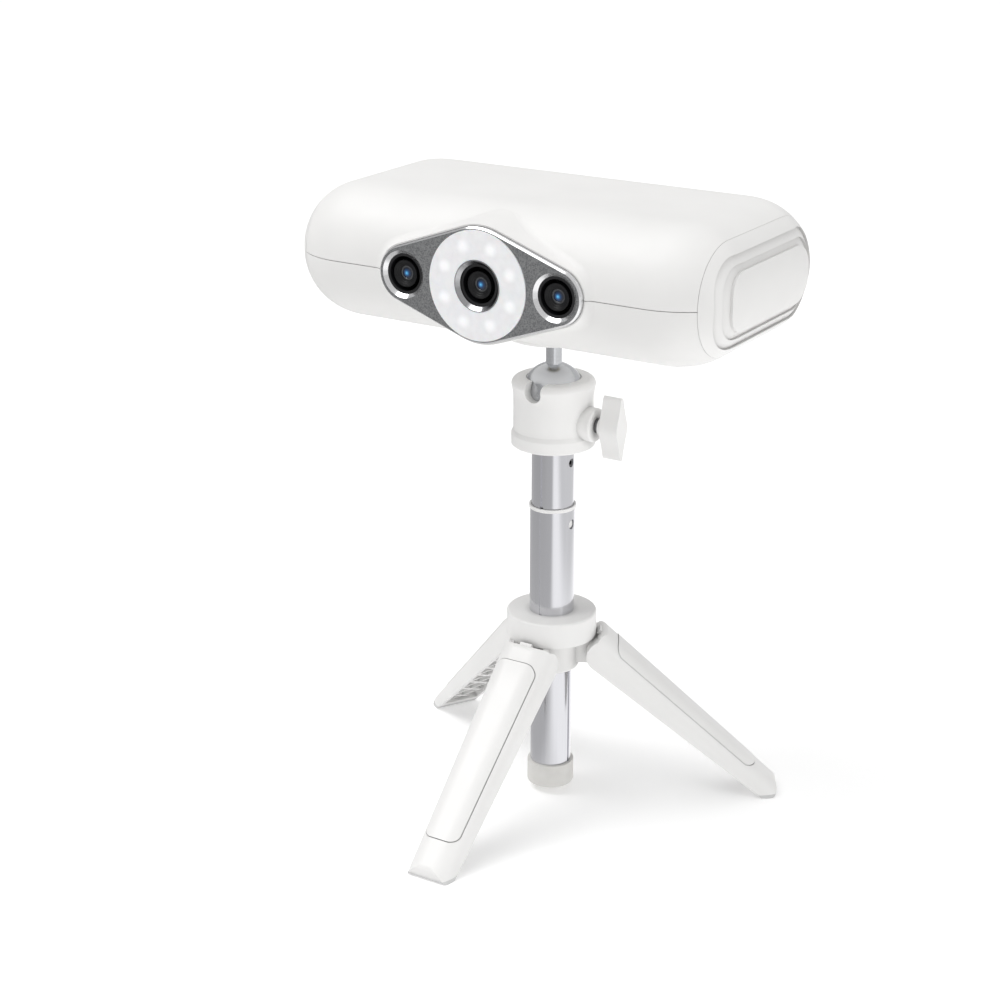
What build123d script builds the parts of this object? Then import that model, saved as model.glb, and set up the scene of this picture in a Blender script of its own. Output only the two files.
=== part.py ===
from build123d import *
import math
import os

os.makedirs("parts", exist_ok=True)

# A white structured-light scanner on an extendable mini tripod, lens side towards -Y.
# Origin: the tripod's axis, on the surface it stands on.  All sizes in millimetres.

# ---------------------------------------------------------------- scanner body
BODY_LENGTH = 157.0
BODY_DEPTH = 84.0
BODY_HEIGHT = 43.2
BODY_Y = -1.0
BODY_Z = 187.6
PLAN_CORNER = 23.5
EDGE_ROUND = 21.0
WALL = 2.0
SHELL_GAP = 0.1
SEAM_X = 70.0
CAP_THICKNESS = 2.2
# each terrace of an end cap: half length, half height, depth below the body's outer form
TERRACES = [(60.0, 60.0, 0.0), (33.0, 14.1, 1.1), (29.7, 11.3, 2.0), (26.2, 9.2, 1.0)]
TERRACE_CORNER = 0.82

# ---------------------------------------------------------------- front plate and cameras
LENS_SPACING = 27.0
PLATE_Y = -45.7
PLATE_THICKNESS = 3.6
PLATE_CENTRE_R = 17.95
PLATE_END_R = 8.9
PLATE_CHAMFER = 0.5
PLINTH_Y = -44.0
PLINTH_MARGIN = 0.6
PLINTH_DEPTH = 21.0
PLINTH_TAPER = 7.0
PLINTH_BLEND = 4.0
RING_R = 17.1
RING_HOLE_R = 8.05
RING_PROUD = 0.25
RING_THICKNESS = 1.4
BEZEL_R = 7.95
BEZEL_BORE_R = 6.6
SIDE_BORE_R = 6.4
SIDE_SINK_R = 7.5
TUBE_WALL = 0.9
TUBE_LENGTH = 13.0
LENS_R = 4.9
LED_CIRCLE_R = 12.6
LED_SIZE = 2.0
LED_COUNT = 8

# ---------------------------------------------------------------- ball head
BALL_Z = 142.4
BALL_R = 10.2
SEAT_GAP = 0.06
CUP_INNER_R = BALL_R + 0.1
CUP_OUTER_R = 11.2
CUP_CAVITY_R = 11.3
CUP_EDGE_BELOW = 6.4
NECK_R = 2.6
STUD_THREAD_R = 3.1
PAD_R = 16.6
PAD_BOTTOM_Z = 161.7
HEAD_BOTTOM_Z = 125.0
HEAD_TOP_Z = 147.7
HEAD_R = 13.77
WAIST_R = 13.1
RIM_R = 8.95
SLOT_HALF_WIDTH = 2.95
SLOT_BOTTOM_Z = BALL_Z - 0.4
SLOT_START_Y = -6.0
WAIST_TOP_Z = BALL_Z - 2.2
CLAMP_Z = 133.8
BOSS_R = 5.6
BOSS_END_X = 16.4
SCREW_R = 2.4
KNOB_START_X = 18.9
KNOB_LENGTH = 6.6
KNOB_HALF_HEIGHT = 10.6
KNOB_HALF_WIDTH = 3.6

# ---------------------------------------------------------------- column
INNER_R = 7.02
INNER_BORE_R = 5.7
INNER_BOTTOM_Z = 84.0
SOCKET_DEPTH = 4.2
OUTER_R = 7.45
OUTER_BORE_R = 7.08
OUTER_BOTTOM_Z = 59.0
OUTER_TOP_Z = 103.0
COLLAR_R = 7.75
COLLAR_HEIGHT = 1.1
LOWER_R = 6.95
LOWER_BORE_R = 6.0
LOWER_BOTTOM_Z = 4.6
CAP_R = 7.93
CAP_BOTTOM_Z = 2.4
CAP_TOP_Z = 10.7
GROOVE_WIDTH = 1.0
BUTTON_Z = 97.9
BUTTON_R = 1.45
SET_SCREW_Z = 119.3
SET_SCREW_R = 1.45

# ---------------------------------------------------------------- hub and legs
FLANGE_R = 15.1
FLANGE_BOTTOM_Z = 57.7
FLANGE_TOP_Z = 66.4
HUB_R = 9.3
HUB_BOTTOM_Z = 45.7
PIVOT_R = 17.0
PIVOT_Z = 52.5
PIN_R = 1.5
LUG_HALF_WIDTH = 4.0
LUG_R = 4.2
LEG_SPREAD = 47.1
LEG_NOSE = 76.1
LEG_NOSE_R = 3.3
LEG_TOP_R = 5.2
LEG_FACE = 6.0
LEG_CEILING = 4.4
LEG_CAVITY_END = 71.0
INLAY_START = 2.0
INLAY_END = 67.0
INLAY_HALF_TOP = 7.9
INLAY_HALF_FOOT = 6.4
INLAY_CORNER = 3.6
INLAY_GAP = 0.25
INLAY_DEPTH = 0.7
RIB_PITCH = 8.5
RIB_WIDTH = 1.1
RIB_ANGLE = 52.0
LEG_HALF_TOP = 9.6
LEG_HALF_FOOT = 8.0
LEG_WALL = 1.6
SOLE_HEIGHT = 1.2
LEG_TURNS = {"front": 0, "right": 120, "left": 240}


# ================================================================ helpers
def save(piece, name):
    """Label one finished piece and write it under its own name."""
    piece.label = name
    export_step(piece, "parts/" + name + ".step")


def front(y):
    """A plane across the front at y, facing the subject, whose x and y are X and Z."""
    return Plane(origin=(0, y, 0), x_dir=(1, 0, 0), z_dir=(0, -1, 0))


def end(x):
    """A plane across the length at x, facing +X, centred on the body."""
    return Plane(origin=(x, BODY_Y, BODY_Z), x_dir=(0, 1, 0), z_dir=(1, 0, 0))


def radial(turn):
    """The upright plane through the axis and one leg, whose x is outwards and y is up."""
    angle = math.radians(turn - 90)
    return Plane(
        origin=(0, 0, 0),
        x_dir=(math.cos(angle), math.sin(angle), 0),
        z_dir=(math.sin(angle), -math.cos(angle), 0),
    )


def level(z):
    """A horizontal plane at height z."""
    return Plane.XY.offset(z)


def body_form(inset):
    """The body's rounded outer form, pulled in by inset on every side."""
    with BuildPart() as form:
        with BuildSketch(level(BODY_Z - BODY_HEIGHT / 2 + inset)):
            with Locations((0, BODY_Y)):
                RectangleRounded(BODY_LENGTH - 2 * inset, BODY_DEPTH - 2 * inset, PLAN_CORNER - inset)
        extrude(amount=BODY_HEIGHT - 2 * inset)
        fillet(form.faces().filter_by(Axis.Z).edges(), EDGE_ROUND - inset)
    return form.part


def plate_hull(margin):
    """Sketch the hull of the big middle circle and the two end circles, grown by margin."""
    with BuildLine() as circles:
        CenterArc((0, BODY_Z), PLATE_CENTRE_R + margin, 0, 360)
        CenterArc((LENS_SPACING, BODY_Z), PLATE_END_R + margin, 0, 360)
        CenterArc((-LENS_SPACING, BODY_Z), PLATE_END_R + margin, 0, 360)
    make_hull(circles.edges())


def ring(plane, centre, outer, inner, amount):
    """A plain tube or disc standing on a plane."""
    with BuildPart() as tube:
        with BuildSketch(plane):
            with Locations(centre):
                Circle(outer)
                if inner > 0:
                    Circle(inner, mode=Mode.SUBTRACT)
        extrude(amount=amount)
    return tube.part


# ================================================================ scanner shells
outer_form = body_form(0)
inner_form = body_form(WALL)
BOSS_PLACES = [(x, BODY_Y + y) for x in (-50, 50) for y in (-17, 17)]
BOSS_OUTER_R = 3.4
SCREW_BORE_R = 1.3
SCREW_HEAD_R = 2.6
SCREW_HEAD_DEPTH = 1.2
BODY_BOTTOM_Z = BODY_Z - BODY_HEIGHT / 2
BODY_TOP_Z = BODY_Z + BODY_HEIGHT / 2
INSERT_R = 5.0
INSERT_TOP_Z = 171.0
USB_X = -13.0
JACK_X = 13.0
PORT_Z = 177.6

# the raised plinth that carries the front plate, running back into the body
with BuildPart() as plinth:
    with BuildSketch(front(PLINTH_Y)):
        plate_hull(PLINTH_MARGIN)
    extrude(amount=-PLINTH_DEPTH, taper=-PLINTH_TAPER)

with BuildPart() as hollow_body:
    add(outer_form)
    add(plinth.part)
    foot = hollow_body.edges().filter_by(GeomType.BSPLINE)
    foot = foot.filter_by(lambda edge: edge.bounding_box().size.Y < 0.9 * edge.length)
    fillet(foot.filter_by(lambda edge: abs(edge.center().X) < BODY_LENGTH / 4), PLINTH_BLEND)
    add(inner_form, mode=Mode.SUBTRACT)
    with BuildSketch(front(PLATE_Y)):
        plate_hull(0.1)
    extrude(amount=-(abs(PLATE_Y) - 34.0), mode=Mode.SUBTRACT)
    with BuildSketch(level(BODY_Z)):
        Rectangle(2 * SEAM_X - 2 * SHELL_GAP, 2 * BODY_DEPTH)
    extrude(amount=BODY_HEIGHT, both=True, mode=Mode.INTERSECT)

with BuildPart() as bosses:
    with BuildSketch(level(BODY_BOTTOM_Z + WALL / 2)):
        with Locations(*BOSS_PLACES):
            Circle(BOSS_OUTER_R)
    extrude(amount=BODY_HEIGHT - WALL)

with BuildPart() as top_shell:
    add(hollow_body.part)
    add(bosses.part)
    with BuildSketch(level(BODY_Z)):
        with Locations(*BOSS_PLACES):
            Circle(SCREW_BORE_R)
    extrude(amount=8, mode=Mode.SUBTRACT)
    split(bisect_by=level(BODY_Z + SHELL_GAP), keep=Keep.TOP)
save(top_shell.part, "top_shell")

with BuildPart() as bottom_shell:
    add(hollow_body.part)
    add(bosses.part)
    split(bisect_by=level(BODY_Z - SHELL_GAP), keep=Keep.BOTTOM)
    with BuildSketch(level(BODY_BOTTOM_Z)):
        with Locations(*BOSS_PLACES):
            Circle(SCREW_BORE_R)
        Circle(INSERT_R)
    extrude(amount=BODY_HEIGHT / 2, mode=Mode.SUBTRACT)
    with BuildSketch(level(BODY_BOTTOM_Z)):
        with Locations(*BOSS_PLACES):
            Circle(SCREW_HEAD_R + 0.1)
    extrude(amount=SCREW_HEAD_DEPTH, mode=Mode.SUBTRACT)
    with BuildSketch(Plane(origin=(0, 30, PORT_Z), x_dir=(-1, 0, 0), z_dir=(0, 1, 0))):
        with Locations((-USB_X, 0)):
            RectangleRounded(9.8, 4.0, 1.9)
        with Locations((-JACK_X, 0)):
            Circle(3.2)
    extrude(amount=15, mode=Mode.SUBTRACT)
save(bottom_shell.part, "bottom_shell")

with BuildPart() as shell_screws:
    with BuildSketch(level(BODY_BOTTOM_Z)):
        with Locations(*BOSS_PLACES):
            Circle(SCREW_HEAD_R)
    extrude(amount=SCREW_HEAD_DEPTH)
    with BuildSketch(level(BODY_BOTTOM_Z)):
        with Locations(*BOSS_PLACES):
            Circle(SCREW_BORE_R)
    extrude(amount=BODY_HEIGHT / 2 + 6)
    with BuildSketch(level(BODY_BOTTOM_Z)):
        with Locations(*BOSS_PLACES):
            RegularPolygon(1.1, 6)
    extrude(amount=0.8, mode=Mode.SUBTRACT)
save(shell_screws.part, "shell_screws")

# ================================================================ end caps
CAP_REACH = 14.0


def terrace(index):
    """One terrace: the outer form sunk by its depth, between its own outline and the next one."""
    half_length, half_height, depth = TERRACES[index]
    with BuildPart() as step:
        with BuildSketch(end(SEAM_X)):
            RectangleRounded(2 * half_length, 2 * half_height, TERRACE_CORNER * half_height)
            if index + 1 < len(TERRACES):
                next_length, next_height, next_depth = TERRACES[index + 1]
                RectangleRounded(
                    2 * next_length, 2 * next_height, TERRACE_CORNER * next_height, mode=Mode.SUBTRACT
                )
        extrude(amount=CAP_REACH)
        add(outer_form.moved(Location((-depth, 0, 0))), mode=Mode.INTERSECT)
    return step.part


steps = [terrace(index) for index in range(len(TERRACES))]
cap_inside = body_form(WALL + CAP_THICKNESS)
lip_outside = body_form(WALL + 0.15)
lip_inside = body_form(WALL + 1.6)

with BuildPart() as cap_lip:
    with BuildSketch(end(SEAM_X)):
        Rectangle(2 * BODY_DEPTH, 2 * BODY_HEIGHT)
    extrude(amount=-2.6)
    add(lip_outside, mode=Mode.INTERSECT)
    add(lip_inside, mode=Mode.SUBTRACT)

with BuildPart() as end_cap_right:
    for step in steps:
        add(step)
    add(cap_inside, mode=Mode.SUBTRACT)
    add(cap_lip.part)
save(end_cap_right.part, "end_cap_right")

with BuildPart() as end_cap_left:
    mirror(end_cap_right.part, about=Plane.YZ)
save(end_cap_left.part, "end_cap_left")

# ================================================================ front plate and light ring
with BuildPart() as front_plate:
    with BuildSketch(front(PLATE_Y)):
        plate_hull(0)
    extrude(amount=-PLATE_THICKNESS)
    face = front_plate.faces().sort_by(Axis.Y)[0]
    chamfer(face.outer_wire().edges(), PLATE_CHAMFER)
    with BuildSketch(front(PLATE_Y)):
        with Locations((0, BODY_Z)):
            Circle(RING_R + 0.1)
        with Locations((-LENS_SPACING, BODY_Z), (LENS_SPACING, BODY_Z)):
            Circle(SIDE_BORE_R)
    extrude(amount=-PLATE_THICKNESS, mode=Mode.SUBTRACT)
    with BuildSketch(front(PLATE_Y)):
        with Locations((-LENS_SPACING, BODY_Z), (LENS_SPACING, BODY_Z)):
            Circle(SIDE_SINK_R)
    extrude(amount=-(SIDE_SINK_R - SIDE_BORE_R), taper=45, mode=Mode.SUBTRACT)
save(front_plate.part, "front_plate")

RING_FRONT_Y = PLATE_Y - RING_PROUD
save(ring(front(RING_FRONT_Y), (0, BODY_Z), RING_R, RING_HOLE_R, -RING_THICKNESS), "light_ring")
BOARD_Y = RING_FRONT_Y + RING_THICKNESS + 0.9
save(ring(front(BOARD_Y), (0, BODY_Z), RING_R - 0.2, RING_HOLE_R + 0.3, -1.0), "led_board")

with BuildPart() as leds:
    with BuildSketch(front(BOARD_Y)):
        with Locations((0, BODY_Z)):
            with PolarLocations(LED_CIRCLE_R, LED_COUNT, start_angle=180 / LED_COUNT):
                Rectangle(LED_SIZE, LED_SIZE)
    extrude(amount=0.7)
save(leds.part, "leds")

BEZEL_FRONT_Y = RING_FRONT_Y - 0.15
with BuildPart() as centre_bezel:
    with BuildSketch(front(BEZEL_FRONT_Y)):
        with Locations((0, BODY_Z)):
            Circle(BEZEL_R)
            Circle(BEZEL_BORE_R, mode=Mode.SUBTRACT)
    extrude(amount=-4.5)
    with BuildSketch(front(BEZEL_FRONT_Y)):
        with Locations((0, BODY_Z)):
            Circle(BEZEL_R - 0.25)
    extrude(amount=-(BEZEL_R - 0.25 - BEZEL_BORE_R), taper=45, mode=Mode.SUBTRACT)
save(centre_bezel.part, "centre_bezel")

# ================================================================ cameras
BARREL_R = 4.2
BARREL_FRONT_Y = PLATE_Y + 1.3
BARREL_LENGTH = 10.0
GLASS_R = 2.3
MODULE_SIZE = 13.0
MODULE_DEPTH = 5.0
CAMERAS = {"left": (-LENS_SPACING, SIDE_BORE_R), "centre": (0, BEZEL_BORE_R), "right": (LENS_SPACING, SIDE_BORE_R)}
TUBE_FRONT_Y = PLATE_Y + 1.15


def lens_tube(x, bore_r):
    """A black cup behind the plate's hole, with a floor that the barrel comes through."""
    with BuildPart() as tube:
        with BuildSketch(front(TUBE_FRONT_Y)):
            with Locations((x, BODY_Z)):
                Circle(bore_r - 0.05)
                Circle(bore_r - TUBE_WALL, mode=Mode.SUBTRACT)
        extrude(amount=-(BARREL_LENGTH - 1))
        with BuildSketch(front(TUBE_FRONT_Y + BARREL_LENGTH - 2)):
            with Locations((x, BODY_Z)):
                Circle(bore_r - 0.05)
                Circle(BARREL_R, mode=Mode.SUBTRACT)
        extrude(amount=-1)
    return tube.part


def lens_barrel(x):
    """The threaded lens barrel: a cylinder with a dished mouth round its glass."""
    with BuildPart() as barrel:
        with BuildSketch(front(BARREL_FRONT_Y)):
            with Locations((x, BODY_Z)):
                Circle(BARREL_R)
        extrude(amount=-BARREL_LENGTH)
        with BuildSketch(front(BARREL_FRONT_Y)):
            with Locations((x, BODY_Z)):
                Circle(BARREL_R - 0.4)
        extrude(amount=-0.9, taper=60, mode=Mode.SUBTRACT)
        with BuildSketch(front(BARREL_FRONT_Y)):
            with Locations((x, BODY_Z)):
                Circle(GLASS_R)
        extrude(amount=-3.0, mode=Mode.SUBTRACT)
    return barrel.part


def lens_glass(x):
    """The front element: a short cylinder with a domed face."""
    with BuildPart() as glass:
        with BuildSketch(front(BARREL_FRONT_Y + 1.5)):
            with Locations((x, BODY_Z)):
                Circle(GLASS_R)
        extrude(amount=-1.5)
        with Locations((x, BARREL_FRONT_Y + 4.3, BODY_Z)):
            Sphere(3.62)
        with BuildSketch(front(BARREL_FRONT_Y + 3.0)):
            with Locations((x, BODY_Z)):
                Circle(GLASS_R)
        extrude(amount=3.0, mode=Mode.INTERSECT)
    return glass.part


def camera_module(x):
    """The image sensor's holder on its small square board."""
    module_y = BARREL_FRONT_Y + BARREL_LENGTH
    with BuildPart() as module:
        with BuildSketch(front(module_y)):
            with Locations((x, BODY_Z)):
                RectangleRounded(MODULE_SIZE, MODULE_SIZE, 1)
        extrude(amount=-MODULE_DEPTH)
        with BuildSketch(front(module_y + MODULE_DEPTH)):
            with Locations((x, BODY_Z)):
                RectangleRounded(MODULE_SIZE + 6, MODULE_SIZE + 4, 1)
        extrude(amount=-1.2)
    return module.part


for name, (x, bore_r) in CAMERAS.items():
    save(lens_tube(x, bore_r), name + "_lens_tube")
    save(lens_barrel(x), name + "_lens_barrel")
    save(lens_glass(x), name + "_lens_glass")
    save(camera_module(x), name + "_camera_module")

# ================================================================ inside the body
BENCH_Y = BARREL_FRONT_Y + BARREL_LENGTH + MODULE_DEPTH + 1.2
with BuildPart() as optical_bench:
    with BuildSketch(front(BENCH_Y)):
        with Locations((0, BODY_Z)):
            RectangleRounded(88, 26, 3)
            with GridLocations(LENS_SPACING, 0, 2, 1):
                SlotOverall(14, 6, mode=Mode.SUBTRACT)
    extrude(amount=-2.0)
    with BuildSketch(level(BODY_Z + 11)):
        with Locations((0, BENCH_Y + 5)):
            Rectangle(88, 10)
    extrude(amount=2.0)
save(optical_bench.part, "optical_bench")

BOARD_Z = 173.6
with BuildPart() as main_board:
    with BuildSketch(level(BOARD_Z)):
        with Locations((0, 8.5)):
            RectangleRounded(84, 47, 2)
    extrude(amount=1.6)
    with BuildSketch(level(BOARD_Z + 1.6)):
        with Locations((-30, 2), (30, 2), (30, 20)):
            Rectangle(10, 12)
        with Locations((-30, 20)):
            Rectangle(14, 8)
    extrude(amount=1.4)
save(main_board.part, "main_board")

with BuildPart() as heat_sink:
    with BuildSketch(level(BOARD_Z + 1.6)):
        with Locations((0, 6)):
            Rectangle(34, 30)
    extrude(amount=2.0)
    with BuildSketch(level(BOARD_Z + 3.6)):
        with Locations((0, 6)):
            with GridLocations(4.0, 0, 9, 1):
                Rectangle(1.2, 30)
    extrude(amount=6.0)
save(heat_sink.part, "heat_sink")

with BuildPart() as usb_socket:
    with BuildSketch(front(30.4)):
        with Locations((USB_X, PORT_Z)):
            RectangleRounded(9.0, 3.2, 1.55)
    extrude(amount=-7.4)
    with BuildSketch(front(37.8)):
        with Locations((USB_X, PORT_Z)):
            RectangleRounded(8.4, 2.6, 1.25)
            Rectangle(6.6, 0.7, mode=Mode.SUBTRACT)
    extrude(amount=6.0, mode=Mode.SUBTRACT)
save(usb_socket.part, "usb_socket")

with BuildPart() as power_jack:
    with BuildSketch(front(27.0)):
        with Locations((JACK_X, BOARD_Z + 1.6 + 3.5)):
            Rectangle(9.0, 7.0)
    extrude(amount=-6.5)
    with BuildSketch(front(33.5)):
        with Locations((JACK_X, PORT_Z)):
            Circle(2.95)
    extrude(amount=-4.2)
    with BuildSketch(front(37.7)):
        with Locations((JACK_X, PORT_Z)):
            Circle(2.4)
            Circle(0.8, mode=Mode.SUBTRACT)
    extrude(amount=7.5, mode=Mode.SUBTRACT)
save(power_jack.part, "power_jack")

# ================================================================ underside pad and thread insert
with BuildPart() as mounting_pad:
    with BuildSketch(level(PAD_BOTTOM_Z)):
        Circle(PAD_R)
        Circle(INSERT_R, mode=Mode.SUBTRACT)
    extrude(amount=BODY_BOTTOM_Z - PAD_BOTTOM_Z)
    rim = mounting_pad.edges().filter_by(GeomType.CIRCLE).group_by(Axis.Z)[0].sort_by(SortBy.RADIUS)[-1]
    fillet(rim, 1.2)
save(mounting_pad.part, "mounting_pad")
INSERT_BOTTOM_Z = PAD_BOTTOM_Z + 0.3
INSERT_LENGTH = INSERT_TOP_Z - INSERT_BOTTOM_Z
save(ring(level(INSERT_BOTTOM_Z), (0, 0), INSERT_R, STUD_THREAD_R + 0.07, INSERT_LENGTH), "thread_insert")

# ================================================================ ball head
with BuildPart() as ball_stud:
    with Locations((0, 0, BALL_Z)):
        Sphere(BALL_R)
    with BuildSketch(level(BALL_Z)):
        Circle(NECK_R)
    extrude(amount=PAD_BOTTOM_Z + 0.4 - BALL_Z)
    with BuildSketch(level(PAD_BOTTOM_Z + 0.4)):
        Circle(STUD_THREAD_R)
    extrude(amount=7.6)
    tip = ball_stud.edges().filter_by(GeomType.CIRCLE).sort_by(Axis.Z)[-1]
    chamfer(tip, 0.5)
save(ball_stud.part, "ball_stud")

with BuildPart() as pressure_cup:
    with Locations((0, 0, BALL_Z)):
        Sphere(CUP_OUTER_R)
        Sphere(CUP_INNER_R, mode=Mode.SUBTRACT)
    split(bisect_by=level(BALL_Z - CUP_EDGE_BELOW), keep=Keep.BOTTOM)
save(pressure_cup.part, "pressure_cup")

SEAT_R = BALL_R + SEAT_GAP
STEP_Z = BALL_Z - 1.0
BASE_RING_TOP_Z = 129.0
BOSS_START_X = 11.5
SOCKET_TOP_Z = HEAD_BOTTOM_Z + SOCKET_DEPTH


def on_sphere(radius, z):
    """The distance from the axis at height z on a sphere about the ball's centre."""
    return math.sqrt(radius**2 - (z - BALL_Z) ** 2)


rim_z = BALL_Z + math.sqrt(SEAT_R**2 - RIM_R**2)
with BuildPart() as head_housing:
    with BuildSketch(Plane.YZ):
        with BuildLine():
            Polyline(
                (INNER_R, HEAD_BOTTOM_Z),
                (HEAD_R - 0.4, HEAD_BOTTOM_Z),
                (HEAD_R, HEAD_BOTTOM_Z + 0.4),
                (HEAD_R, BASE_RING_TOP_Z),
                (WAIST_R, BASE_RING_TOP_Z + 1.4),
                (WAIST_R, WAIST_TOP_Z),
            )
            ThreePointArc((WAIST_R, WAIST_TOP_Z), (WAIST_R + 0.2, BALL_Z + 0.8), (HEAD_R, BALL_Z + 3.2))
            ThreePointArc((HEAD_R, BALL_Z + 3.2), (HEAD_R - 0.7, HEAD_TOP_Z - 0.6), (HEAD_R - 2.2, HEAD_TOP_Z))
            Polyline((HEAD_R - 2.2, HEAD_TOP_Z), (RIM_R, HEAD_TOP_Z), (RIM_R, rim_z))
            ThreePointArc((RIM_R, rim_z), (on_sphere(SEAT_R, BALL_Z + 2), BALL_Z + 2), (on_sphere(SEAT_R, STEP_Z), STEP_Z))
            Line((on_sphere(SEAT_R, STEP_Z), STEP_Z), (on_sphere(CUP_CAVITY_R, STEP_Z), STEP_Z))
            ThreePointArc(
                (on_sphere(CUP_CAVITY_R, STEP_Z), STEP_Z),
                (on_sphere(CUP_CAVITY_R, BALL_Z - 7), BALL_Z - 7),
                (0, BALL_Z - CUP_CAVITY_R),
            )
            Polyline(
                (0, BALL_Z - CUP_CAVITY_R),
                (0, SOCKET_TOP_Z),
                (INNER_R, SOCKET_TOP_Z),
                (INNER_R, HEAD_BOTTOM_Z),
            )
        make_face()
    revolve(axis=Axis.Z)
    with BuildSketch(Plane.YZ.offset(BOSS_START_X)):
        with Locations((0, CLAMP_Z)):
            Circle(BOSS_R)
    extrude(amount=BOSS_END_X - BOSS_START_X)
    fillet(head_housing.faces().sort_by(Axis.X)[-1].edges(), 0.7)
    with BuildSketch(front(SLOT_START_Y)):
        with Locations((0, SLOT_BOTTOM_Z + SLOT_HALF_WIDTH)):
            Circle(SLOT_HALF_WIDTH)
        with Locations((0, SLOT_BOTTOM_Z + SLOT_HALF_WIDTH + 10)):
            Rectangle(2 * SLOT_HALF_WIDTH, 20)
    extrude(amount=10, mode=Mode.SUBTRACT)
    with BuildSketch(Plane.YZ.offset(7)):
        with Locations((0, CLAMP_Z)):
            Circle(SCREW_R + 0.05)
    extrude(amount=12, mode=Mode.SUBTRACT)
save(head_housing.part, "head_housing")

SCREW_TIP_X = 9.9
with BuildPart() as clamp_screw:
    with BuildSketch(Plane.YZ.offset(SCREW_TIP_X)):
        with Locations((0, CLAMP_Z)):
            Circle(SCREW_R)
    extrude(amount=KNOB_START_X + 3 - SCREW_TIP_X)
save(clamp_screw.part, "clamp_screw")

with BuildPart() as clamp_knob:
    with BuildSketch(Plane.YZ.offset(KNOB_START_X)):
        with BuildLine():
            Spline(
                (0, CLAMP_Z + KNOB_HALF_HEIGHT),
                (1.35, CLAMP_Z + 0.72 * KNOB_HALF_HEIGHT),
                (KNOB_HALF_WIDTH, CLAMP_Z),
                (1.35, CLAMP_Z - 0.72 * KNOB_HALF_HEIGHT),
                (0, CLAMP_Z - KNOB_HALF_HEIGHT),
                tangents=[(1, -0.35), (-1, -0.35)],
            )
            Line((0, CLAMP_Z - KNOB_HALF_HEIGHT), (0, CLAMP_Z + KNOB_HALF_HEIGHT))
        make_face()
        mirror(about=Plane.YZ)
    extrude(amount=KNOB_LENGTH)
    with BuildSketch(Plane.YZ.offset(KNOB_START_X - 0.9)):
        with Locations((0, CLAMP_Z)):
            Circle(3.3)
    extrude(amount=2)
    with BuildSketch(Plane.YZ.offset(KNOB_START_X - 1)):
        with Locations((0, CLAMP_Z)):
            Circle(SCREW_R)
    extrude(amount=4, mode=Mode.SUBTRACT)
save(clamp_knob.part, "clamp_knob")

# ================================================================ column
def groove(turn, radius, depth, bottom, top):
    """A narrow straight groove down a tube's outside, turned about the column."""
    lane = Plane.XY.rotated((0, 0, turn)).offset(bottom)
    with BuildPart() as cut:
        with BuildSketch(lane):
            with Locations((radius, 0)):
                Rectangle(2 * depth, GROOVE_WIDTH)
        extrude(amount=top - bottom)
    return cut.part


inner_groove = groove(-90, INNER_R, 0.5, INNER_BOTTOM_Z, HEAD_BOTTOM_Z)
outer_groove = groove(-90, OUTER_R, 0.2, FLANGE_TOP_Z, OUTER_TOP_Z)
lower_groove = groove(0, LOWER_R, 0.45, CAP_TOP_Z, HUB_BOTTOM_Z)

with BuildPart() as inner_tube:
    add(ring(level(INNER_BOTTOM_Z), (0, 0), INNER_R, INNER_BORE_R, HEAD_BOTTOM_Z + SOCKET_DEPTH - INNER_BOTTOM_Z))
    add(inner_groove, mode=Mode.SUBTRACT)
    with BuildSketch(Plane.YZ):
        with Locations((0, BUTTON_Z)):
            Circle(BUTTON_R + 0.05)
        with Locations((0, SET_SCREW_Z)):
            Circle(SET_SCREW_R)
    extrude(amount=10, mode=Mode.SUBTRACT)
save(inner_tube.part, "inner_tube")

with BuildPart() as set_screw:
    with BuildSketch(Plane.YZ.offset(4.6)):
        with Locations((0, SET_SCREW_Z)):
            Circle(SET_SCREW_R)
    extrude(amount=2.0)
    with BuildSketch(Plane.YZ.offset(5.6)):
        with Locations((0, SET_SCREW_Z)):
            RegularPolygon(0.85, 6)
    extrude(amount=2.0, mode=Mode.SUBTRACT)
save(set_screw.part, "set_screw")

with BuildPart() as snap_button:
    with BuildSketch(Plane.YZ.offset(4.9)):
        with Locations((0, BUTTON_Z)):
            Circle(BUTTON_R)
    extrude(amount=INNER_R - 0.1 - 4.9)
    fillet(snap_button.faces().sort_by(Axis.X)[-1].edges(), 0.35)
save(snap_button.part, "snap_button")

with BuildPart() as outer_tube:
    add(ring(level(OUTER_BOTTOM_Z), (0, 0), OUTER_R, OUTER_BORE_R, OUTER_TOP_Z - OUTER_BOTTOM_Z))
    add(outer_groove, mode=Mode.SUBTRACT)
    with BuildSketch(Plane.YZ):
        with Locations((0, BUTTON_Z)):
            Circle(BUTTON_R + 0.2)
    extrude(amount=10, mode=Mode.SUBTRACT)
save(outer_tube.part, "outer_tube")
save(ring(level(OUTER_TOP_Z), (0, 0), COLLAR_R, OUTER_BORE_R + 0.02, COLLAR_HEIGHT), "tube_collar")

with BuildPart() as lower_tube:
    add(ring(level(LOWER_BOTTOM_Z), (0, 0), LOWER_R, LOWER_BORE_R, FLANGE_BOTTOM_Z - 0.7 - LOWER_BOTTOM_Z))
    add(lower_groove, mode=Mode.SUBTRACT)
save(lower_tube.part, "lower_tube")

with BuildPart() as column_cap:
    with BuildSketch(level(CAP_BOTTOM_Z)):
        Circle(CAP_R)
    extrude(amount=CAP_TOP_Z - CAP_BOTTOM_Z)
    fillet(column_cap.faces().sort_by(Axis.Z)[0].edges(), 0.9)
    fillet(column_cap.faces().sort_by(Axis.Z)[-1].edges(), 0.25)
    with BuildSketch(level(LOWER_BOTTOM_Z)):
        Circle(LOWER_R)
    extrude(amount=CAP_TOP_Z, mode=Mode.SUBTRACT)
save(column_cap.part, "column_cap")

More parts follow.
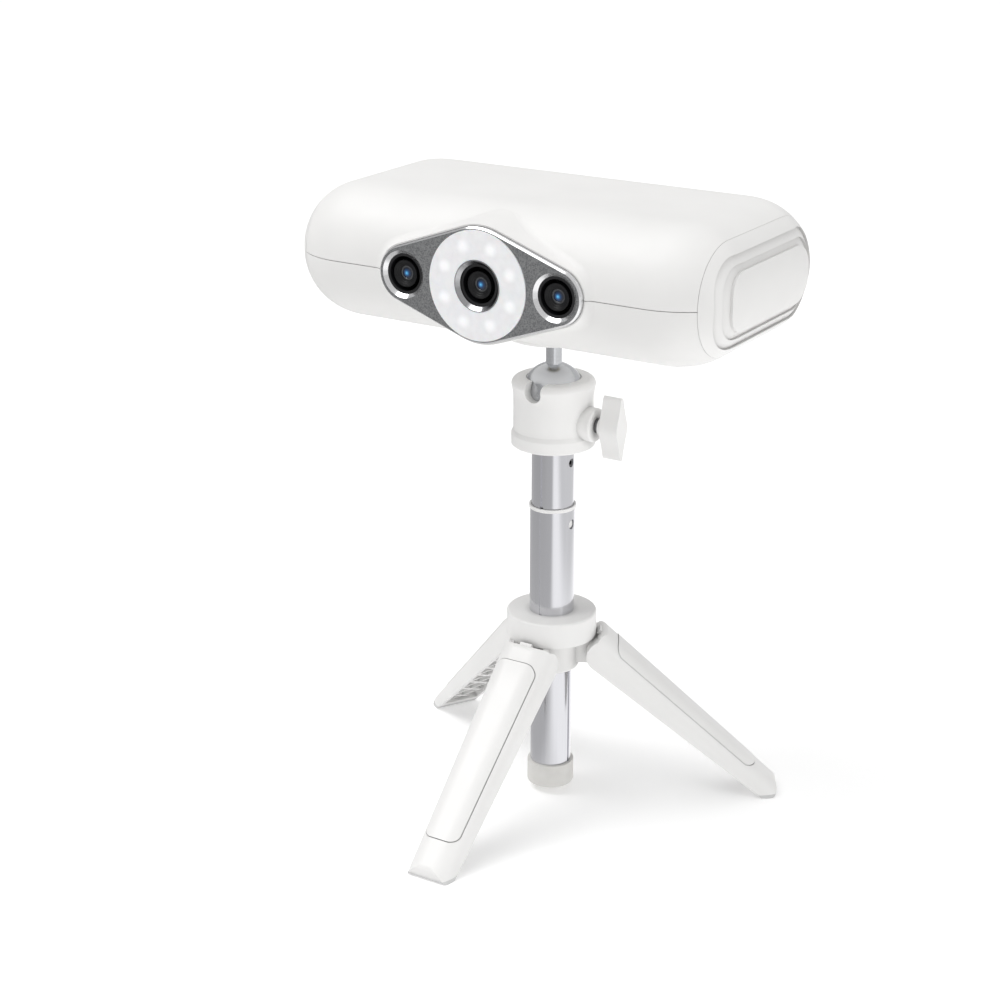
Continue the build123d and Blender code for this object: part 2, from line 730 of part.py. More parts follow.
# ================================================================ hub
with BuildPart() as hub:
    with BuildSketch(level(FLANGE_BOTTOM_Z)):
        Circle(FLANGE_R)
    extrude(amount=FLANGE_TOP_Z - FLANGE_BOTTOM_Z)
    fillet(hub.faces().sort_by(Axis.Z)[-1].edges(), 0.7)
    fillet(hub.faces().sort_by(Axis.Z)[0].edges(), 0.4)
    with BuildSketch(level(HUB_BOTTOM_Z)):
        Circle(HUB_R)
    extrude(amount=FLANGE_BOTTOM_Z - HUB_BOTTOM_Z)
    fillet(hub.faces().sort_by(Axis.Z)[0].edges(), 1.6)
    for turn in LEG_TURNS.values():
        with BuildSketch(radial(turn)):
            with Locations((PIVOT_R, PIVOT_Z)):
                Circle(LUG_R)
            with Locations((PIVOT_R - 4.5, PIVOT_Z)):
                Rectangle(9, 2 * LUG_R)
            with Locations((PIVOT_R, PIVOT_Z)):
                Circle(PIN_R, mode=Mode.SUBTRACT)
        extrude(amount=LUG_HALF_WIDTH, both=True)
    with BuildSketch(level(OUTER_BOTTOM_Z)):
        Circle(OUTER_R)
    extrude(amount=20, mode=Mode.SUBTRACT)
    with BuildSketch(level(HUB_BOTTOM_Z)):
        Circle(LOWER_R)
    extrude(amount=FLANGE_BOTTOM_Z - 0.7 - HUB_BOTTOM_Z, mode=Mode.SUBTRACT)
    with BuildSketch(level(HUB_BOTTOM_Z)):
        Circle(LOWER_BORE_R)
    extrude(amount=20, mode=Mode.SUBTRACT)
save(hub.part, "hub")

with BuildPart() as leg_pins:
    for turn in LEG_TURNS.values():
        with BuildSketch(radial(turn)):
            with Locations((PIVOT_R, PIVOT_Z)):
                Circle(PIN_R)
        extrude(amount=LEG_HALF_TOP - 0.8, both=True)
save(leg_pins.part, "leg_pins")

# ================================================================ legs
spread = math.radians(LEG_SPREAD)
along = Vector(0, -math.sin(spread), -math.cos(spread))
outward = Vector(0, -math.cos(spread), math.sin(spread))
pivot = Vector(0, -PIVOT_R, PIVOT_Z)
leg_side = Plane(origin=pivot, x_dir=along, z_dir=(-1, 0, 0))
leg_face = Plane(origin=pivot, x_dir=along, z_dir=outward)


LEG_TOP_END = -6.0
LEG_FOOT_END = LEG_NOSE + LEG_NOSE_R + 1
LEG_ROUND = 6.5
CAVITY_ROUND = 4.9
ARCH_DEPTH = 30.0


def leg_plan(inset):
    """Sketch the leg square to its outer face, tapering towards the foot, pulled in by inset."""
    with BuildLine() as outline:
        Polyline(
            (LEG_TOP_END, -LEG_HALF_TOP + inset),
            (LEG_FOOT_END, -LEG_HALF_FOOT + inset),
            (LEG_FOOT_END, LEG_HALF_FOOT - inset),
            (LEG_TOP_END, LEG_HALF_TOP - inset),
            close=True,
        )
    make_face(outline.edges())


def leg_arch(half_top, half_foot, crown, corner):
    """A tapering prism along the leg whose outer side is arched, between the two ends' half widths."""
    with BuildPart() as arch:
        for distance, half_width in ((LEG_TOP_END, half_top), (LEG_FOOT_END, half_foot)):
            start = pivot + distance * along + (crown - ARCH_DEPTH / 2) * outward
            with BuildSketch(Plane(origin=start, x_dir=(1, 0, 0), z_dir=along)):
                RectangleRounded(2 * half_width, ARCH_DEPTH, corner)
        loft(ruled=True)
    return arch.part


with BuildPart() as leg_outer:
    with BuildSketch(leg_side):
        with BuildLine():
            Polyline((0, -LEG_TOP_R), (0, 0), (-4.5, 2.6), (-4.5, LEG_FACE - 2.2))
            ThreePointArc((-4.5, LEG_FACE - 2.2), (-3.86, LEG_FACE - 0.64), (-2.3, LEG_FACE))
            Line((-2.3, LEG_FACE), (LEG_NOSE, LEG_FACE))
            ThreePointArc(
                (LEG_NOSE, LEG_FACE),
                (LEG_NOSE + LEG_NOSE_R, LEG_FACE - LEG_NOSE_R),
                (LEG_NOSE, LEG_FACE - 2 * LEG_NOSE_R),
            )
            Line((LEG_NOSE, LEG_FACE - 2 * LEG_NOSE_R), (0, -LEG_TOP_R))
        make_face()
        Circle(LEG_TOP_R)
    extrude(amount=LEG_HALF_TOP + 1, both=True)
    add(leg_arch(LEG_HALF_TOP, LEG_HALF_FOOT, LEG_FACE, LEG_ROUND), mode=Mode.INTERSECT)

with BuildPart() as leg_cavity:
    with BuildSketch(leg_side):
        with BuildLine():
            Polyline(
                (-3.2, -12),
                (-3.2, 2.6),
                (-2.0, LEG_CEILING),
                (LEG_CAVITY_END - 3, LEG_CEILING),
                (LEG_CAVITY_END, LEG_CEILING - 3),
                (LEG_CAVITY_END, -12),
                close=True,
            )
        make_face()
    extrude(amount=LEG_HALF_TOP, both=True)
    inside = leg_arch(LEG_HALF_TOP - LEG_WALL, LEG_HALF_FOOT - LEG_WALL, LEG_CEILING, CAVITY_ROUND)
    add(inside, mode=Mode.INTERSECT)

# crossed ribs that fill the leg's arch down to its open edge
RIB_START = 9.0
RIB_COUNT = 8
RIB_SINK = 0.8
EDGE_AT_FOOT = LEG_FACE - 2 * LEG_NOSE_R
with BuildPart() as leg_ribs:
    with BuildSketch(leg_face.offset(-12)):
        for index in range(RIB_COUNT):
            with Locations((RIB_START + index * RIB_PITCH, 0)):
                Rectangle(30, RIB_WIDTH, rotation=RIB_ANGLE)
                Rectangle(30, RIB_WIDTH, rotation=-RIB_ANGLE)
    extrude(amount=24)
    with BuildSketch(leg_side):
        with BuildLine():
            Polyline(
                (RIB_START, LEG_FACE),
                (LEG_CAVITY_END + 1, LEG_FACE),
                (LEG_CAVITY_END + 1, EDGE_AT_FOOT + RIB_SINK),
                (RIB_START, -LEG_TOP_R + 2 * RIB_SINK),
                close=True,
            )
        make_face()
    extrude(amount=LEG_HALF_TOP, both=True, mode=Mode.INTERSECT)
    with BuildSketch(leg_face.offset(-12)):
        leg_plan(LEG_WALL / 2)
    extrude(amount=24, mode=Mode.INTERSECT)
    add(leg_outer.part.moved(Location(-RIB_SINK * outward)), mode=Mode.INTERSECT)


def inlay_block(gap):
    """A prism square to the leg's face with the inlay's tapered outline, pulled in by gap."""
    with BuildPart() as block:
        with BuildSketch(leg_face.offset(-12)) as outline:
            with BuildLine() as edge:
                Polyline(
                    (INLAY_START + gap, INLAY_HALF_TOP - gap),
                    (INLAY_END - gap, INLAY_HALF_FOOT - gap),
                    (INLAY_END - gap, gap - INLAY_HALF_FOOT),
                    (INLAY_START + gap, gap - INLAY_HALF_TOP),
                    close=True,
                )
            make_face(edge.edges())
            fillet(outline.vertices(), INLAY_CORNER - gap)
        extrude(amount=24)
    return block.part


# the curved recess in the leg's face that the inlay sits in
with BuildPart() as leg_pocket:
    add(inlay_block(0))
    add(leg_outer.part.moved(Location(-INLAY_DEPTH * outward)), mode=Mode.SUBTRACT)
    with BuildSketch(leg_face.offset(-1)):
        Rectangle(400, 60)
    extrude(amount=14, mode=Mode.INTERSECT)

floor_slab = level(SOLE_HEIGHT)
with BuildPart() as leg_shell:
    add(leg_outer.part)
    add(leg_cavity.part, mode=Mode.SUBTRACT)
    add(leg_ribs.part)
    with BuildSketch(leg_side):
        Circle(LUG_R + 0.35)
        with Locations((-3, -2.4)):
            Rectangle(6.4, 10)
        with Locations((0, -4)):
            Rectangle(2 * LUG_R + 0.7, 8)
    extrude(amount=LUG_HALF_WIDTH + 0.4, both=True, mode=Mode.SUBTRACT)
    with BuildSketch(leg_side):
        Circle(PIN_R + 0.06)
    extrude(amount=LEG_HALF_TOP - 0.7, both=True, mode=Mode.SUBTRACT)
    add(leg_pocket.part, mode=Mode.SUBTRACT)
    # small stop that rests against the flange when the leg is fully open
    with BuildSketch(leg_side):
        with Locations((-4.75, 4.0)):
            Rectangle(1.1, 1.6)
    extrude(amount=2.2, both=True)
    split(bisect_by=floor_slab, keep=Keep.TOP)

with BuildPart() as leg_inlay:
    add(inlay_block(INLAY_GAP))
    add(leg_outer.part.moved(Location(0.2 * outward)), mode=Mode.INTERSECT)
    add(leg_outer.part.moved(Location(-INLAY_DEPTH * outward)), mode=Mode.SUBTRACT)

with BuildPart() as leg_sole:
    add(leg_outer.part)
    split(bisect_by=floor_slab, keep=Keep.BOTTOM)
    split(bisect_by=level(0), keep=Keep.TOP)

for side, turn in LEG_TURNS.items():
    save(leg_shell.part.rotate(Axis.Z, turn), "leg_" + side)
    save(leg_inlay.part.rotate(Axis.Z, turn), "leg_inlay_" + side)
    save(leg_sole.part.rotate(Axis.Z, turn), "leg_sole_" + side)
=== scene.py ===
import math

import bpy
from mathutils import Matrix, Vector


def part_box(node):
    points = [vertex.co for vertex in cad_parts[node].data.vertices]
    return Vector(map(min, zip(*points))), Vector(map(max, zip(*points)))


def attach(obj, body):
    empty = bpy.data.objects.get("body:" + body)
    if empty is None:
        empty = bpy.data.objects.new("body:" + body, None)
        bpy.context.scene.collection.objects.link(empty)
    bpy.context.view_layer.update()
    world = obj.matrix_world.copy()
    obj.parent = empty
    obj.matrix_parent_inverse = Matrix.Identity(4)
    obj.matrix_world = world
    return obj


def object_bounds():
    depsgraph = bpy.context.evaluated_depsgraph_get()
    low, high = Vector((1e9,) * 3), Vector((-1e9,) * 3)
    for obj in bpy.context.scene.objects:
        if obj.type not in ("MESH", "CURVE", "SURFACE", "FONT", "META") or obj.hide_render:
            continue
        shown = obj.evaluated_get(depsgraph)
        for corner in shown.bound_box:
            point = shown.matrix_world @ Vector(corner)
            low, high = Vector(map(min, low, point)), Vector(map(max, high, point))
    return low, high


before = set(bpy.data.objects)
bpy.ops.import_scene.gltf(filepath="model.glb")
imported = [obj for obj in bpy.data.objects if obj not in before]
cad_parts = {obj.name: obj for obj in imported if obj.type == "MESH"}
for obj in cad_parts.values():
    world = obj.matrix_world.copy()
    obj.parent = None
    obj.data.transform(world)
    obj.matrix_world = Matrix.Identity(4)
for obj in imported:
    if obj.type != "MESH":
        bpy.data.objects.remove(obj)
cad_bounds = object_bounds()

MM = 0.001
SHADE_REACH = 0.0022
POLISHED = 0.000001
GRIT_DEPTH = 0.00006
PUPIL_FADE = 2.3 * MM
EVEN_TURNED = (800, 800, 800)


# ---------------------------------------------------------------- node helpers
class Finish:
    """A procedural material: a principled shader with its texture nodes added one by one."""

    def __init__(self, name, **sockets):
        self.material = bpy.data.materials.new(name)
        self.material.use_nodes = True
        self.tree = self.material.node_tree
        self.shader = self.tree.nodes["Principled BSDF"]
        for key, value in sockets.items():
            self.shader.inputs[key.replace("_", " ")].default_value = value
        self.place = self.tree.nodes.new("ShaderNodeTexCoord").outputs["Object"]

    def node(self, kind, **values):
        made = self.tree.nodes.new("ShaderNode" + kind)
        for key, value in values.items():
            if hasattr(made, key):
                setattr(made, key, value)
            else:
                made.inputs[key.replace("_", " ")].default_value = value
        return made

    def link(self, source, target):
        self.tree.links.new(source, target)

    def stretched(self, scale):
        """Object coordinates scaled differently along each axis."""
        mapping = self.node("Mapping")
        mapping.inputs["Scale"].default_value = scale
        self.link(self.place, mapping.inputs["Vector"])
        return mapping.outputs["Vector"]

    def noise(self, scale, detail=3.0, place=None):
        made = self.node("TexNoise", Scale=scale, Detail=detail)
        self.link(place or self.place, made.inputs["Vector"])
        return made.outputs["Fac"]

    def spread(self, factor, low, high, start=0.3, stop=0.7):
        """Map a 0..1 factor to the range low..high."""
        made = self.node("MapRange")
        for key, value in (("From Min", start), ("From Max", stop), ("To Min", low), ("To Max", high)):
            made.inputs[key].default_value = value
        self.link(factor, made.inputs["Value"])
        return made.outputs["Result"]

    def tint(self, factor, first, second, start=0.3, stop=0.7):
        ramp = self.node("ValToRGB")
        for element, at, colour in zip(ramp.color_ramp.elements, (start, stop), (first, second)):
            element.position = at
            element.color = (*colour, 1)
        self.link(factor, ramp.inputs["Fac"])
        return ramp.outputs["Color"]

    def colour(self, factor, first, second, start=0.3, stop=0.7):
        self.link(self.tint(factor, first, second, start, stop), self.shader.inputs["Base Color"])

    def roughness(self, factor, low, high, start=0.3, stop=0.7):
        self.link(self.spread(factor, low, high, start, stop), self.shader.inputs["Roughness"])

    def math(self, operation, first, second=None):
        """One maths node, whose inputs are sockets or numbers."""
        made = self.node("Math", operation=operation)
        for socket, value in zip(made.inputs, (first, second)):
            if isinstance(value, (int, float)):
                socket.default_value = value
            elif value is not None:
                self.link(value, socket)
        return made.outputs["Value"]

    def bump(self, factor, distance, strength=1.0):
        made = self.node("Bump", Strength=strength, Distance=distance)
        self.link(factor, made.inputs["Height"])
        self.link(made.outputs["Normal"], self.shader.inputs["Normal"])


def moulded(name, light, dark, rough, grain=2600.0, height=0.000012, painted_shade=0.0):
    """Moulded plastic: a fine grain, slow colour drift, uneven gloss and soft shade in its corners."""
    made = Finish(name, IOR=1.5)
    drift = made.tint(made.noise(38.0), dark, light)
    # painted shade: an ambient occlusion factor darkens the colour in corners and recesses, by the amount
    # given
    corners = made.node("AmbientOcclusion", samples=8, Distance=SHADE_REACH)
    shaded = made.node("Mix", data_type="RGBA", blend_type="MULTIPLY")
    shaded.inputs[0].default_value = painted_shade
    made.link(drift, shaded.inputs[6])
    made.link(corners.outputs["AO"], shaded.inputs[7])
    made.link(shaded.outputs[2], made.shader.inputs["Base Color"])
    made.roughness(made.noise(150.0), rough - 0.04, rough + 0.05)
    made.bump(made.noise(grain, 2.0), height)
    return made.material


def metal(name, light, dark, low, high, stretch, height=0.000004):
    """Metal drawn or turned along one direction, with the streaks that leaves."""
    made = Finish(name, Metallic=1.0)
    streaks = made.noise(1.0, 4.0, made.stretched(stretch))
    made.colour(streaks, dark, light)
    made.roughness(streaks, low, high)
    made.bump(streaks, height)
    return made.material


def sandblasted(name, light, dark, polish):
    """A blasted front face with its grit; the chamfer, the wall and the bores are left polished."""
    made = Finish(name, Metallic=0.85)
    grit = made.noise(2400.0, 4.0)
    facing = made.node("SeparateXYZ")
    made.link(made.tree.nodes["Texture Coordinate"].outputs["Normal"], facing.inputs["Vector"])
    face = made.spread(facing.outputs["Y"], 1.0, 0.0, -0.97, -0.90)
    colour = made.node("Mix", data_type="RGBA")
    colour.inputs[6].default_value = (*polish, 1)
    made.link(face, colour.inputs[0])
    made.link(made.tint(grit, dark, light, 0.36, 0.64), colour.inputs[7])
    made.link(colour.outputs[2], made.shader.inputs["Base Color"])
    rough = made.node("Mix")
    rough.inputs[2].default_value = 0.16
    made.link(face, rough.inputs[0])
    made.link(made.spread(made.noise(900.0), 0.40, 0.56), rough.inputs[3])
    made.link(rough.outputs[0], made.shader.inputs["Roughness"])
    raised = made.math("MULTIPLY", grit, face)
    made.bump(raised, GRIT_DEPTH, 0.7)
    return made.material


def diffuser(name, centre_z, circle, count, inner, outer):
    """A milky ring with a soft bright spot over each lamp behind it."""
    made = Finish(name, Subsurface_Weight=0.2, Subsurface_Scale=0.002, Roughness=0.42)
    made.shader.inputs["Emission Strength"].default_value = 1.0
    made.colour(made.noise(420.0), (0.70, 0.70, 0.71), (0.75, 0.75, 0.76))
    made.bump(made.noise(1800.0), 0.00001)
    part = made.node("SeparateXYZ")
    made.link(made.place, part.inputs["Vector"])
    x, z = part.outputs["X"], made.math("SUBTRACT", part.outputs["Z"], centre_z)
    step = 2 * math.pi / count
    angle = made.math("ADD", made.math("ARCTAN2", z, x), 2 * math.pi)
    angle = made.math("SUBTRACT", made.math("MODULO", angle, step), step / 2)
    radius = made.math("SQRT", made.math("ADD", made.math("POWER", x, 2), made.math("POWER", z, 2)))
    away = made.math("SUBTRACT", made.math("MULTIPLY", radius, made.math("COSINE", angle)), circle)
    aside = made.math("MULTIPLY", radius, made.math("SINE", angle))
    distance = made.math("SQRT", made.math("ADD", made.math("POWER", away, 2), made.math("POWER", aside, 2)))
    glow_at = made.node("MapRange", interpolation_type="SMOOTHSTEP")
    for key, value in (("From Min", inner), ("From Max", outer), ("To Min", 1), ("To Max", 0)):
        glow_at.inputs[key].default_value = value
    made.link(distance, glow_at.inputs["Value"])
    lamps = made.tint(glow_at.outputs["Result"], (0.10, 0.10, 0.104), (0.27, 0.27, 0.275), 0.0, 1.0)
    made.link(lamps, made.shader.inputs["Emission Color"])
    return made.material


def board(name):
    made = Finish(name, Roughness=0.4)
    made.colour(made.noise(900.0, 5.0), (0.012, 0.06, 0.03), (0.03, 0.13, 0.065), 0.45, 0.55)
    made.bump(made.noise(700.0), 0.00002)
    return made.material


def rubber(name, light, dark):
    made = Finish(name)
    made.colour(made.noise(220.0), dark, light)
    made.roughness(made.noise(600.0), 0.6, 0.78)
    made.bump(made.noise(1600.0), 0.00003)
    return made.material


def from_axis(made, centre):
    """The distance from a lens's own axis, which runs along Y."""
    part = made.node("SeparateXYZ")
    made.link(made.place, part.inputs["Vector"])
    x = made.math("SUBTRACT", part.outputs["X"], centre.x)
    z = made.math("SUBTRACT", part.outputs["Z"], centre.z)
    return made.math("SQRT", made.math("ADD", made.math("POWER", x, 2), made.math("POWER", z, 2)))


def glass(name, centre):
    """Coated glass: a small blue pupil that fades through deep blue to black, its colours also emitted as a
    painted glow.
    """
    made = Finish(name, Roughness=0.05, IOR=1.6, Emission_Strength=0.5)
    radius = made.spread(from_axis(made, centre), 0.0, 1.0, 0.0, PUPIL_FADE)
    ramp = made.node("ValToRGB")
    stops = ramp.color_ramp.elements
    stops[0].position, stops[0].color = 0.0, (0.10, 0.42, 0.70, 1)
    stops[1].position, stops[1].color = 1.0, (0.004, 0.005, 0.008, 1)
    fade = ((0.20, (0.03, 0.16, 0.34)), (0.36, (0.008, 0.035, 0.10)), (0.60, (0.005, 0.010, 0.024)))
    for at, colour in fade:
        stops.new(at).color = (*colour, 1)
    made.link(radius, ramp.inputs["Fac"])
    made.link(ramp.outputs["Color"], made.shader.inputs["Base Color"])
    # painted glow: the pupil's colours are emitted as well, though the glass is no lamp
    made.link(ramp.outputs["Color"], made.shader.inputs["Emission Color"])
    made.bump(made.noise(500.0), POLISHED)
    return made.material


def turned_black(name, centre, pitch):
    """Black anodised metal with the fine rings that turning leaves."""
    made = Finish(name, Specular_IOR_Level=0.3)
    made.colour(made.noise(600.0), (0.004, 0.004, 0.005), (0.009, 0.009, 0.010))
    made.roughness(made.noise(900.0), 0.36, 0.5)
    rings = made.math("SINE", made.math("MULTIPLY", from_axis(made, centre), 2 * math.pi / pitch))
    made.bump(rings, 0.00005, 0.5)
    return made.material


WHITE = (0.79, 0.785, 0.775)
WHITE_LOW = (0.765, 0.76, 0.75)
# the last number of each moulded plastic sets how strongly painted shade darkens its corners
shell = moulded("shell_plastic", WHITE, WHITE_LOW, 0.50, painted_shade=0.25)
cap_shell = moulded("cap_plastic", WHITE, WHITE_LOW, 0.34, painted_shade=0.18)
stand = moulded("stand_plastic", (0.86, 0.855, 0.846), (0.835, 0.83, 0.82), 0.40, painted_shade=0.5)
inlay = moulded("inlay_plastic", (0.85, 0.845, 0.836), (0.83, 0.825, 0.816), 0.38, painted_shade=0.4)
nylon = moulded("cup_nylon", (0.72, 0.71, 0.66), (0.68, 0.67, 0.62), 0.5)
black = moulded("lens_black", (0.010, 0.010, 0.012), (0.005, 0.005, 0.006), 0.45)
port_black = moulded("port_black", (0.03, 0.03, 0.03), (0.02, 0.02, 0.02), 0.42)
plate = sandblasted("plate_metal", (0.40, 0.405, 0.41), (0.22, 0.223, 0.23), (0.80, 0.80, 0.81))
tube = metal("tube_silver", (0.66, 0.66, 0.685), (0.63, 0.63, 0.658), 0.13, 0.17, (900, 900, 12), POLISHED)
ball = metal("ball_steel", (0.66, 0.67, 0.69), (0.62, 0.63, 0.65), 0.20, 0.27, (40, 40, 900), POLISHED)
bezel = metal("bezel_polish", (0.46, 0.46, 0.475), (0.40, 0.40, 0.41), 0.14, 0.22, (700, 700, 700), POLISHED)
bench = metal("bench_metal", (0.72, 0.72, 0.73), (0.62, 0.62, 0.63), 0.3, 0.42, (30, 900, 900))
screw = metal("screw_steel", (0.5, 0.5, 0.51), (0.38, 0.38, 0.39), 0.28, 0.4, (600, 600, 600))
dark = metal("dark_steel", (0.24, 0.24, 0.245), (0.15, 0.15, 0.155), 0.3, 0.42, (900, 900, 900))
brass = metal("insert_brass", (0.55, 0.50, 0.40), (0.46, 0.42, 0.33), 0.35, 0.36, (40, 40, 1800))
ring_low, ring_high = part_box("light_ring")
LED_COUNT = 8
LED_CIRCLE = 12.6 * MM
SPOT_INNER, SPOT_OUTER = 0.2 * MM, 2.9 * MM
ring_middle = (ring_low.z + ring_high.z) / 2
glow = diffuser("ring_diffuser", ring_middle, LED_CIRCLE, LED_COUNT, SPOT_INNER, SPOT_OUTER)
circuit = board("circuit_board")
cap_rubber = rubber("cap_rubber", (0.76, 0.75, 0.725), (0.71, 0.70, 0.675))
sole_rubber = rubber("sole_rubber", (0.66, 0.66, 0.655), (0.60, 0.60, 0.595))

SIDES = ("left", "centre", "right")
LEGS = ("front", "right", "left")
LOOKS = {
    "top_shell": shell, "bottom_shell": shell, "mounting_pad": shell,
    "end_cap_left": cap_shell, "end_cap_right": cap_shell,
    "front_plate": plate, "light_ring": glow, "led_board": circuit, "leds": inlay,
    "centre_bezel": bezel, "optical_bench": bench, "heat_sink": bench, "main_board": circuit,
    "usb_socket": screw, "power_jack": port_black, "shell_screws": screw, "thread_insert": brass,
    "ball_stud": ball, "pressure_cup": nylon, "head_housing": stand, "clamp_knob": stand,
    "clamp_screw": dark, "inner_tube": tube, "set_screw": dark, "outer_tube": tube,
    "tube_collar": inlay, "snap_button": inlay, "hub": stand, "lower_tube": tube,
    "column_cap": cap_rubber, "leg_pins": screw,
}
RING_PITCH = 0.55 * MM
for side in SIDES:
    corner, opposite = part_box(side + "_lens_barrel")
    centre = (corner + opposite) / 2
    LOOKS.update({
        side + "_lens_tube": black, side + "_camera_module": circuit,
        side + "_lens_barrel": turned_black(side + "_barrel_black", centre, RING_PITCH),
        side + "_lens_glass": glass(side + "_glass_painted_glow", centre),
    })
for side in LEGS:
    LOOKS.update({
        "leg_" + side: stand, "leg_inlay_" + side: inlay, "leg_sole_" + side: sole_rubber,
    })


def dress(node, material):
    """Give a CAD node its material."""
    slots = bpy.data.objects[node].data.materials
    slots.clear()
    slots.append(material)


for name, look in LOOKS.items():
    dress(name, look)


# ---------------------------------------------------------------- retaining rings in the lens barrels
def turned(name, centre, profile, material, segments=96):
    """Revolve a closed profile of (radius, depth) pairs about an axis along Y through centre."""
    points, faces, count = [], [], len(profile)
    for index in range(segments):
        angle = 2 * math.pi * index / segments
        for radius, depth in profile:
            points.append((
                centre.x + radius * math.cos(angle), centre.y + depth, centre.z + radius * math.sin(angle),
            ))
        for corner in range(count):
            after = (corner + 1) % count
            here, onward = index * count, (index + 1) % segments * count
            faces.append((here + corner, here + after, onward + after, onward + corner))
    mesh = bpy.data.meshes.new(name)
    mesh.from_pydata(points, [], faces)
    mesh.materials.append(material)
    made = bpy.data.objects.new(name, mesh)
    bpy.context.collection.objects.link(made)
    return made


ring_grey = metal(
    "retainer_grey", (0.16, 0.165, 0.175), (0.10, 0.103, 0.11), 0.22, 0.32, EVEN_TURNED, POLISHED
)
# the ring's closed section: millimetres out from the lens's axis, then back from the barrel's mouth
RETAINER_SECTION = ((1.55, 1.25), (1.75, 1.05), (2.25, 1.05), (2.29, 1.12), (2.29, 1.45), (1.55, 1.45))
RETAINER = [(radius * MM, depth * MM) for radius, depth in RETAINER_SECTION]
for side in SIDES:
    corner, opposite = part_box(side + "_lens_barrel")
    mouth = Vector(((corner.x + opposite.x) / 2, corner.y, (corner.z + opposite.z) / 2))
    retainer = turned(side + "_retaining_ring", mouth, RETAINER, ring_grey)
    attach(retainer, "scanner")

# ---------------------------------------------------------------- floor, light and camera
low, high = (Vector(corner) for corner in cad_bounds)
floor_mesh = bpy.data.meshes.new("floor")
REACH = 30.0
floor_mesh.from_pydata(
    [(-REACH, -REACH, 0), (REACH, -REACH, 0), (REACH, REACH, 0), (-REACH, REACH, 0)], [], [(0, 1, 2, 3)]
)
floor = bpy.data.objects.new("floor", floor_mesh)
bpy.context.collection.objects.link(floor)
paper = Finish("floor_paper", Roughness=0.9, Emission_Color=(1, 1, 1, 1), Emission_Strength=0.30)
paper.colour(paper.noise(3.0), (0.80, 0.80, 0.80), (0.82, 0.82, 0.82))
paper.shader.inputs["Specular IOR Level"].default_value = 0.0
# only reflections see this graded floor: dim on one side, bright in the middle, softer beyond
GRADE_ACROSS = (0.847, 0.531, 0.0)
GRADE_REACH = 0.5
across = paper.node("VectorMath", operation="DOT_PRODUCT")
paper.link(paper.place, across.inputs[0])
across.inputs[1].default_value = GRADE_ACROSS
graded = paper.node("ValToRGB")
graded.color_ramp.interpolation = "EASE"
GRADES = ((0.0, 0.19), (0.46, 0.24), (0.53, 0.50), (0.61, 0.50), (0.74, 0.34))
GRADE_STRENGTH = 2.5
stops = graded.color_ramp.elements
for at, level in GRADES[1:-1]:
    stops.new(at).color = (level, level, level, 1)
for stop, (at, level) in ((stops[0], GRADES[0]), (stops[len(stops) - 1], GRADES[-1])):
    stop.position = at
    stop.color = (level, level, level, 1)
paper.link(paper.spread(across.outputs["Value"], 0.0, 1.0, -GRADE_REACH, GRADE_REACH), graded.inputs["Fac"])
mirrored = paper.node("Emission", Strength=GRADE_STRENGTH)
paper.link(graded.outputs["Color"], mirrored.inputs["Color"])
either = paper.node("MixShader")
paper.link(paper.node("LightPath").outputs["Is Glossy Ray"], either.inputs[0])
paper.link(paper.shader.outputs[0], either.inputs[1])
paper.link(mirrored.outputs[0], either.inputs[2])
paper.link(either.outputs[0], paper.tree.nodes["Material Output"].inputs["Surface"])
floor_mesh.materials.append(paper.material)

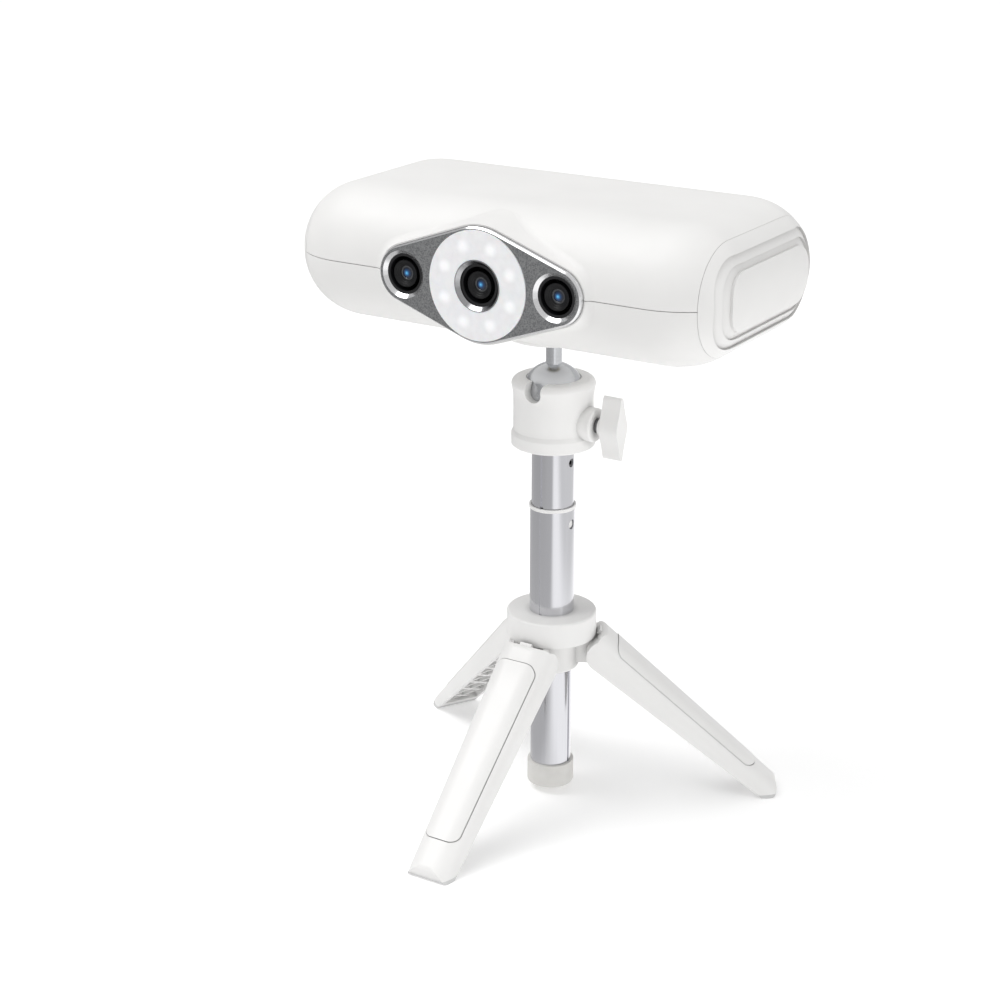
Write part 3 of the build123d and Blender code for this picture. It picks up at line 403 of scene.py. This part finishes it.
# the surroundings are a little dimmer on one side
DIM_SIDE = (-0.97, -0.24, 0.0)
SKY_BRIGHT, SKY_DIM = 0.62, 0.30
world = bpy.data.worlds.new("studio")
bpy.context.scene.world = world
world.use_nodes = True
sky = world.node_tree
sky.nodes["Background"].inputs["Color"].default_value = (1.0, 1.0, 1.0, 1.0)
sky_place = sky.nodes.new("ShaderNodeTexCoord")
sky_side = sky.nodes.new("ShaderNodeVectorMath")
sky_side.operation = "DOT_PRODUCT"
sky_side.inputs[1].default_value = DIM_SIDE
sky_ramp = sky.nodes.new("ShaderNodeMapRange")
sky_ramp.interpolation_type = "SMOOTHSTEP"
for key, value in (("From Min", 0.1), ("From Max", 0.95), ("To Min", SKY_BRIGHT), ("To Max", SKY_DIM)):
    sky_ramp.inputs[key].default_value = value
sky.links.new(sky_place.outputs["Generated"], sky_side.inputs[0])
sky.links.new(sky_side.outputs["Value"], sky_ramp.inputs["Value"])
sky.links.new(sky_ramp.outputs["Result"], sky.nodes["Background"].inputs["Strength"])
bpy.context.scene.view_settings.view_transform = "Standard"

middle = (low + high) / 2


def softbox(name, place, size, power):
    """A square area light pointed at the middle of the object."""
    lamp = bpy.data.lights.new(name, "AREA")
    lamp.shape = "RECTANGLE"
    lamp.size, lamp.size_y = size
    lamp.energy = power
    made = bpy.data.objects.new(name, lamp)
    made.location = middle + Vector(place)
    made.rotation_euler = (-Vector(place)).to_track_quat("-Z", "Y").to_euler()
    bpy.context.collection.objects.link(made)


SUN_STRENGTH, SUN_SOFTNESS, SUN_LEAN = 1.2, 50, (8, -20)
sun = bpy.data.lights.new("overhead", "SUN")
sun.energy = SUN_STRENGTH
sun.angle = math.radians(SUN_SOFTNESS)
sun_object = bpy.data.objects.new("overhead", sun)
sun_object.rotation_euler = (math.radians(SUN_LEAN[0]), math.radians(SUN_LEAN[1]), 0)
bpy.context.collection.objects.link(sun_object)
softbox("key", (-0.45, -0.30, 0.85), (0.5, 0.5), 2.6)
softbox("side", (0.75, -0.10, 0.20), (0.2, 0.5), 0.8)

LENS, SENSOR, NEAR = 77.15, 36.0, 0.01
CAMERA_PLACE = (0.339058, -0.572896, 0.348042)
CAMERA_RIGHT = Vector((0.847, 0.5317, 0.0)).normalized()
CAMERA_FORWARD = Vector((-0.4994, 0.7956, -0.3430)).normalized()
camera = bpy.data.cameras.new("camera")
camera.sensor_width = SENSOR
camera.lens = LENS
camera.clip_start = NEAR
camera_object = bpy.data.objects.new("camera", camera)
up = CAMERA_RIGHT.cross(CAMERA_FORWARD)
turn = Matrix((CAMERA_RIGHT, up, -CAMERA_FORWARD)).transposed()
camera_object.matrix_world = Matrix.Translation(CAMERA_PLACE) @ turn.to_4x4()
bpy.context.collection.objects.link(camera_object)
bpy.context.scene.camera = camera_object
